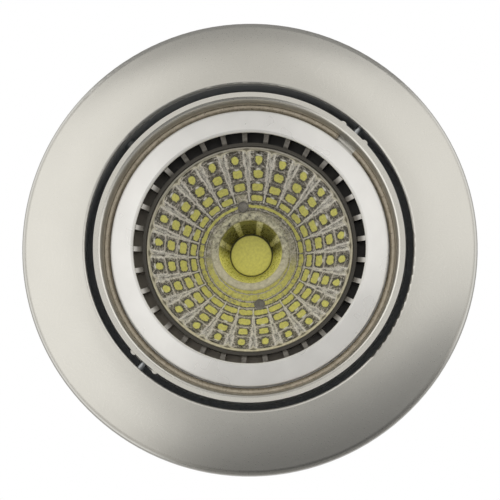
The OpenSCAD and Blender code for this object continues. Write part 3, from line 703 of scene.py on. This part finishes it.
class DOWNLIGHT_OT_stage(bpy.types.Operator):
    """Add the floor, the soft lights and the camera"""
    bl_idname = "downlight.stage"
    bl_label = "Stage"

    def execute(self, context):
        settings = context.scene.downlight_stage
        right, up = picture_axes(settings.turn)
        self.add_camera(context.scene, settings, right, up)
        self.add_floor(settings.floor)
        self.add_world(context.scene)

        def seen_at(across, rise, half_across, half_rise):
            """A place 1 m from the trim and a size there, from degrees as seen from the trim:
            right and up from straight down, and half of what the thing takes up."""
            out = right * math.tan(math.radians(across)) + up * math.tan(math.radians(rise))
            size = [2 * math.tan(math.radians(half)) for half in (half_across, half_rise)]
            return (Vector((0, 0, -1)) + out).normalized(), size

        self.add_light("left_softbox", *seen_at(-37, 5, 25, 33), up, 0.56)
        self.add_light("right_softbox", *seen_at(37, 24, 26, 25), up, 0.46)
        self.add_card("camera_card", *seen_at(21, -37, 33, 30), up, "#303030", "#9E9E9E")
        back = Vector((0, 0, 1))
        self.add_card("upper_card", up * 1.1, (1.9, 2.3), back, "#A8A8A8", "#A0A0A0")
        self.add_card(
            "lower_card", right * 0.4 - up * 1.05, (2.4, 1.3), back, "#7C7C7B", "#8F8F8E")
        context.scene.view_settings.view_transform = "Standard"
        return {"FINISHED"}

    def add_camera(self, scene, settings, right, up):
        data = bpy.data.cameras.new("camera")
        data.lens = data.sensor_width * settings.distance / settings.across
        camera = bpy.data.objects.new("camera", data)
        scene.collection.objects.link(camera)
        # a little below the light's axis and to its right, as in the photograph
        away = (Vector((0, 0, -1)) - 0.12 * up + 0.03 * right).normalized()
        centre = MM * (0.05 * right - 0.18 * up) + Vector((0, 0, -0.8 * MM))
        aim(camera, away, up)
        camera.location = centre + away * settings.distance
        scene.camera = camera

    def add_floor(self, depth):
        floor = rectangle("floor", FLOOR_WIDTH, FLOOR_WIDTH, -depth)
        material, node, coords = new_material("pale_floor_paint")
        cloud = node("TexNoise", {"Vector": coords, "Scale": 1000 / 400})
        finish_material(node, {
            "Base Color": mottled(node, cloud, "#C9C7C3", "#CFCDC9"), "Roughness": 0.9})
        floor.data.materials.append(material)

    def add_card(self, name, place, size, up, low, high):
        """A card outside the picture, which the metal mirrors."""
        card = rectangle(name, *size)
        material, node, coords = new_material(f"{name}_board")
        height = node("SeparateXYZ", coords, out="Y")
        rise = node("MapRange", height, -size[1] / 2, size[1] / 2)
        finish_material(node, {
            "Base Color": node("Mix", {0: rise, 6: low, 7: high}, **COLOUR),
            "Roughness": 1.0, "Specular IOR Level": 0.0})
        card.data.materials.append(material)
        aim(card, place, up)
        card.visible_camera = False
        card.visible_diffuse = False
        card.visible_shadow = False

    def add_world(self, scene):
        world = bpy.data.worlds.new("studio")
        world.use_nodes = True
        world.node_tree.nodes.clear()
        node = partial(add_node, world.node_tree)
        node("OutputWorld", {"Surface": node("Background", {"Color": "#FFFFFF", "Strength": 1.0})})
        scene.world = world

    def add_light(self, name, place, size, up, radiance):
        data = bpy.data.lights.new(name, "AREA")
        data.shape = "RECTANGLE"
        data.size, data.size_y = size
        data.energy = math.pi * size[0] * size[1] * radiance
        lamp = bpy.data.objects.new(name, data)
        bpy.context.scene.collection.objects.link(lamp)
        aim(lamp, place, up)
        lamp.visible_camera = False


# ---- Trim and tilting ring ----

class DOWNLIGHT_OT_metalwork(bpy.types.Operator):
    """Finish the trim, the tilting ring, the frame, the pins and the clips"""
    bl_idname = "downlight.metalwork"
    bl_label = "Metalwork"

    def execute(self, context):
        nickel = context.scene.downlight_finish.nickel
        finish_node("trim_ring", satin_nickel_plate("satin_nickel_plate", nickel))
        # the turned ring takes the plate a little brighter than the casting
        brighter = [min(c * 1.14, 1.0) for c in nickel]
        finish_node("tilt_ring", satin_nickel_plate("turned_satin_nickel_plate", brighter))
        finish_node("pivot_frame", black_powder_coat())
        zinc = bright_zinc_plate()
        for name in (
                "pivot_pins", "pivot_washers", "bracket_rivets", "clip_pin_left",
                "clip_pin_right", "clip_bracket_left", "clip_bracket_right", "clip_arm_left",
                "clip_arm_right", "lamp_pins"):
            finish_node(name, zinc)
        return {"FINISHED"}


# ---- Clip springs ----

# In millimetres: radii of the wire and of the coil, its advance per turn, and how far from the
# hinge pin's axis the fixed end lies on its bracket's plate
WIRE_R = 0.35
COIL_R = 1.75
PITCH = 1.25
PLATE_Y = -1.0
ARM_ANGLE = math.radians(21.5)
# Where round the pin the fixed end joins the coil, and where the moving end leaves it
FIXED_TURN = math.radians(-45)
FREE_TURN = math.radians(208.3 + 3 * 360)
COIL_STEPS = 260
# The moving end, as distances outward from the arm's line and along it
MOVING_END = (
    (-1.68, 0.7), (-1.45, 1.7), (-1.05, 2.9), (-0.84, 3.9), (-0.82, 4.6), (-0.82, 6.6))


def coil_point(s):
    """A point of the coil about the hinge pin, for the clip at +Y; s runs from 0 to 1."""
    a = FIXED_TURN + (FREE_TURN - FIXED_TURN) * s
    turns = (FREE_TURN - FIXED_TURN) / (2 * math.pi)
    return Vector((PITCH * turns * (s - 0.5), COIL_R * math.cos(a), COIL_R * math.sin(a)))


def at_hinge(point, side):
    return Vector((side * point.x, side * (HINGE_Y + point.y), HINGE_Z + point.z))


class DOWNLIGHT_OT_springs(bpy.types.Operator):
    """Wind the two clip springs as smooth round wire"""
    bl_idname = "downlight.springs"
    bl_label = "Clip springs"

    def execute(self, context):
        wire = drawn_spring_wire()
        coil = [coil_point(i / COIL_STEPS) for i in range(COIL_STEPS + 1)]
        start, end = coil[0], coil[-1]
        # the fixed end bends from the plate up to the coil at 45 degrees
        run = start.y - PLATE_Y
        fixed_end = [
            Vector((start.x, y, start.z - down)) for y, down in (
                (PLATE_Y, run + 3), (PLATE_Y, run + 0.6), (PLATE_Y + 0.06, run + 0.15),
                (PLATE_Y + run * 0.25, run * 0.75), (start.y - run * 0.25, run * 0.25))]
        # the moving end bends in to lie on the arm, clear of the bracket's plate when folded
        along = Vector((0, math.sin(ARM_ANGLE), -math.cos(ARM_ANGLE)))
        outward = Vector((0, math.cos(ARM_ANGLE), math.sin(ARM_ANGLE)))
        moving_end = [
            Vector((end.x, 0, 0)) + outward * q + along * d for q, d in MOVING_END]
        for word, side in (("left", -1), ("right", 1)):
            fixed = tube(
                f"clip_spring_{word}_coil", [at_hinge(p, side) for p in fixed_end + coil], WIRE_R)
            add_piece(fixed, "fixing", wire, (f"clip_spring_{word}",))
            moving = tube(
                f"clip_spring_{word}_leg", [at_hinge(p, side) for p in [end] + moving_end],
                WIRE_R)
            add_piece(moving, f"{word}_clip", wire)
        return {"FINISHED"}


# ---- Lamp ----

# Profiles are radius and height, in millimetres. The lens's faceted back runs from the well to
# the rim, with a point at the edge of each row of facets
BOWL = [
    (5.9, 9.3), (7.1, 9.5), (8.4, 9.5), (9.75, 9.1), (11.4, 8.2), (13.4, 6.3), (15.5, 3.3),
    (17.6, 0.4), (18.2, -0.45),
]
RIM = [
    (18.1, -0.4), (18.2, -0.62), (18.35, -0.78), (18.5, -0.78), (18.6, -0.65), (18.6, 1.6),
    (18.2, 1.7),
]
WELL_MOUTH = [
    (5.7, 3.3), (5.75, 3.05), (5.9, 2.95), (6.5, 2.8), (7.0, 2.75), (7.15, 2.95), (7.0, 3.6),
    (6.2, 3.9), (5.75, 3.8),
]
WELL_WALL = [(5.75, 3.3), (5.6, 4.0), (3.9, 9.3), (4.2, 9.3), (5.8, 4.2), (6.0, 3.7)]
FRONT_SKIN = [
    (7.2, 2.65), (9.0, 2.15), (12.0, 1.25), (15.0, 0.3), (17.9, -0.55), (17.9, -0.4),
    (15.0, 0.45), (12.0, 1.4), (9.0, 2.3), (7.2, 2.8),
]
# The tops of the vent ring's ribs, which curve up to the polished ring
RIB_TOP = [(19.25, -0.5), (19.7, -0.75), (20.3, -0.85), (20.8, -1.1), (21.3, -1.6)]
RIB_HALF = 0.44
VENT_FLOOR = 1.4
SCREW_HOLE_R = 1.0


def bowl_point(row):
    """Radius and height where the count of facet rows is row, on a smooth line through BOWL."""
    i = min(int(row), len(BOWL) - 2)
    f = row - i
    before = BOWL[max(i - 1, 0)]
    after = BOWL[min(i + 2, len(BOWL) - 1)]
    here, ahead = BOWL[i], BOWL[i + 1]
    return [
        0.5 * (2 * here[n] + (ahead[n] - before[n]) * f
               + (2 * before[n] - 5 * here[n] + 4 * ahead[n] - after[n]) * f * f
               + (3 * here[n] - before[n] - 3 * ahead[n] + after[n]) * f ** 3)
        for n in (0, 1)
    ]


class DOWNLIGHT_OT_lens(bpy.types.Operator):
    """Build the faceted lens, its rim, well and clear skin, and the ribbed vent ring round it"""
    bl_idname = "downlight.lens"
    bl_label = "Lens"

    def execute(self, context):
        phosphor = list(context.scene.downlight_finish.phosphor)
        right, up = picture_axes(context.scene.downlight_stage.turn)
        facets = faceted_acrylic(phosphor, up)
        add_piece(self.bowl(), "gimbal", facets, ("lamp_lens",))
        rim = lathe("lens_rim", RIM, closed=True)
        add_piece(rim, "gimbal", moulded_flange(up))
        mouth = lathe("lens_well_mouth", WELL_MOUTH, closed=True)
        add_piece(mouth, "gimbal", frosted_acrylic(up))
        wall = lathe("lens_well_wall", WELL_WALL)
        add_piece(wall, "gimbal", tinted_acrylic_wall(phosphor, up))
        skin = lathe("lens_front_skin", FRONT_SKIN, closed=True)
        add_piece(skin, "gimbal", clear_skin())
        casting = vent_casting((up + right).normalized(), right)
        add_piece(self.vents(), "gimbal", casting)
        return {"FINISHED"}

    def vents(self):
        """The floor of the vent ring and its ribs, which keep in line with the fins behind."""
        # of the steps round from rib to rib, the first two are a rib's sides and the rest floor
        steps = 12
        wall = 0.002
        vertices, faces, places = [], [], []
        for i in range(FINS):
            for k in range(steps):
                for radius, top in RIB_TOP:
                    half = RIB_HALF / radius
                    floor = 2 * math.pi / FINS - 2 * half - 2 * wall
                    if k < 2:
                        a, z = (-half, half)[k], top
                    else:
                        a, z = half + wall + floor * (k - 2) / (steps - 3), VENT_FLOOR
                    turn = FIN_TURN + 2 * math.pi * i / FINS + a
                    vertices.append((radius * math.cos(turn), radius * math.sin(turn), z))
        across, radii = FINS * steps, len(RIB_TOP)
        for n in range(across):
            here, there = n * radii, (n + 1) % across * radii
            rib = 1.0 if n % steps == 0 else 0.0
            for j in range(radii - 1):
                faces.append([here + j, here + j + 1, there + j + 1, there + j])
                places += [(rib, radial / (radii - 1)) for radial in (j, j + 1, j + 1, j)]
        made = mesh_object("vent_floor", vertices, faces, smooth=False)
        add_uv(made, "ribs", places)
        return made

    def bowl(self):
        """The facets, with raised ribs between the columns, seams between the rows, and a hole
        over each of the board's two screws."""
        per_column, per_row = 18, 16
        across, outward = COLUMNS * per_column, (len(BOWL) - 1) * per_row
        vertices = []
        for j in range(outward + 1):
            row = j / per_row
            radius, height = bowl_point(row)
            for k in range(across):
                column = k / per_column
                side = abs(column % 1 - 0.5) * 2
                rise = abs(row % 1 - 0.5) * 2
                rib = min(max((side - 0.72) / 0.2, 0), 1) * min(row / 3, 1)
                seam = min(max((rise - 0.7) / 0.3, 0), 1) * (1 if row > 1.5 else 0.3)
                lift = 0.35 * rib + 0.12 * seam
                a = SCREW_ANGLE + (column - 0.5) * 2 * math.pi / COLUMNS
                vertices.append((radius * math.cos(a), radius * math.sin(a), height - lift))
        screws = [
            (SCREW_AT * math.cos(SCREW_ANGLE + t), SCREW_AT * math.sin(SCREW_ANGLE + t))
            for t in (0, math.pi)]
        faces, places = [], []
        for j in range(outward):
            for k in range(across):
                here, ahead, after = j * across, (j + 1) * across, (k + 1) % across
                corners = [here + k, here + after, ahead + after, ahead + k]
                middle = np.mean([vertices[c] for c in corners], axis=0)
                if min(math.hypot(middle[0] - x, middle[1] - y) for x, y in screws) < SCREW_HOLE_R:
                    continue
                faces.append(corners)
                places += [
                    ((k + right) / per_column, (j + out) / per_row)
                    for right, out in ((0, 0), (1, 0), (1, 1), (0, 1))]
        made = mesh_object("lens_facets", vertices, faces)
        add_uv(made, "facets", places)
        return made


class DOWNLIGHT_OT_lamp(bpy.types.Operator):
    """Finish the lamp's front ring, heat sink, boards, base and light source"""
    bl_idname = "downlight.lamp"
    bl_label = "Lamp"

    def execute(self, context):
        phosphor = context.scene.downlight_finish.phosphor
        finish_node("lamp_circlip", passivated_wire())
        finish_node("lamp_front_ring", turned_aluminium())
        finish_node("lamp_heat_sink", cast_aluminium())
        finish_node("board_screws", dulled_zinc_plate())
        finish_node("led_board", white_solder_resist())
        finish_node("led_emitter", phosphor_silicone(phosphor))
        finish_node("lamp_base", moulded_pbt())
        finish_node("driver_board", green_solder_resist())
        finish_node("driver_parts", moulded_epoxy())
        return {"FINISHED"}


# ---- Lampholder ----

class DOWNLIGHT_OT_holder(bpy.types.Operator):
    """Finish the twist-lock lampholder"""
    bl_idname = "downlight.holder"
    bl_label = "Lampholder"

    def execute(self, context):
        steatite = unglazed_steatite()
        brass = rolled_brass()
        finish_node("holder_body", steatite)
        finish_node("holder_cover", steatite)
        finish_node("holder_contacts", brass)
        finish_node("holder_rivets", brass)
        return {"FINISHED"}


# ---- Panel and registration ----

class DOWNLIGHT_PT_panel(bpy.types.Panel):
    """Lists the downlight's pieces and settings"""
    bl_idname = "DOWNLIGHT_PT_panel"
    bl_label = "Downlight"
    bl_space_type = "VIEW_3D"
    bl_region_type = "UI"
    bl_category = "Downlight"

    def draw(self, context):
        layout = self.layout
        for group in (context.scene.downlight_finish, context.scene.downlight_stage):
            for name in group.bl_rna.properties.keys():
                if name not in ("name", "rna_type"):
                    layout.prop(group, name)
        for operator in OPERATORS:
            layout.operator(operator.bl_idname)


GROUPS = (DownlightFinish, DownlightStage)
OPERATORS = (
    DOWNLIGHT_OT_stage, DOWNLIGHT_OT_metalwork, DOWNLIGHT_OT_springs, DOWNLIGHT_OT_lens,
    DOWNLIGHT_OT_lamp, DOWNLIGHT_OT_holder,
)


def register():
    for cls in (*GROUPS, *OPERATORS, DOWNLIGHT_PT_panel):
        bpy.utils.register_class(cls)
    bpy.types.Scene.downlight_finish = bpy.props.PointerProperty(type=DownlightFinish)
    bpy.types.Scene.downlight_stage = bpy.props.PointerProperty(type=DownlightStage)


def unregister():
    del bpy.types.Scene.downlight_stage
    del bpy.types.Scene.downlight_finish
    for cls in (DOWNLIGHT_PT_panel, *reversed(OPERATORS), *reversed(GROUPS)):
        bpy.utils.unregister_class(cls)


def main():
    register()
    for operator in OPERATORS:
        group, name = operator.bl_idname.split(".")
        getattr(getattr(bpy.ops, group), name)()


if __name__ == "__main__":
    main()
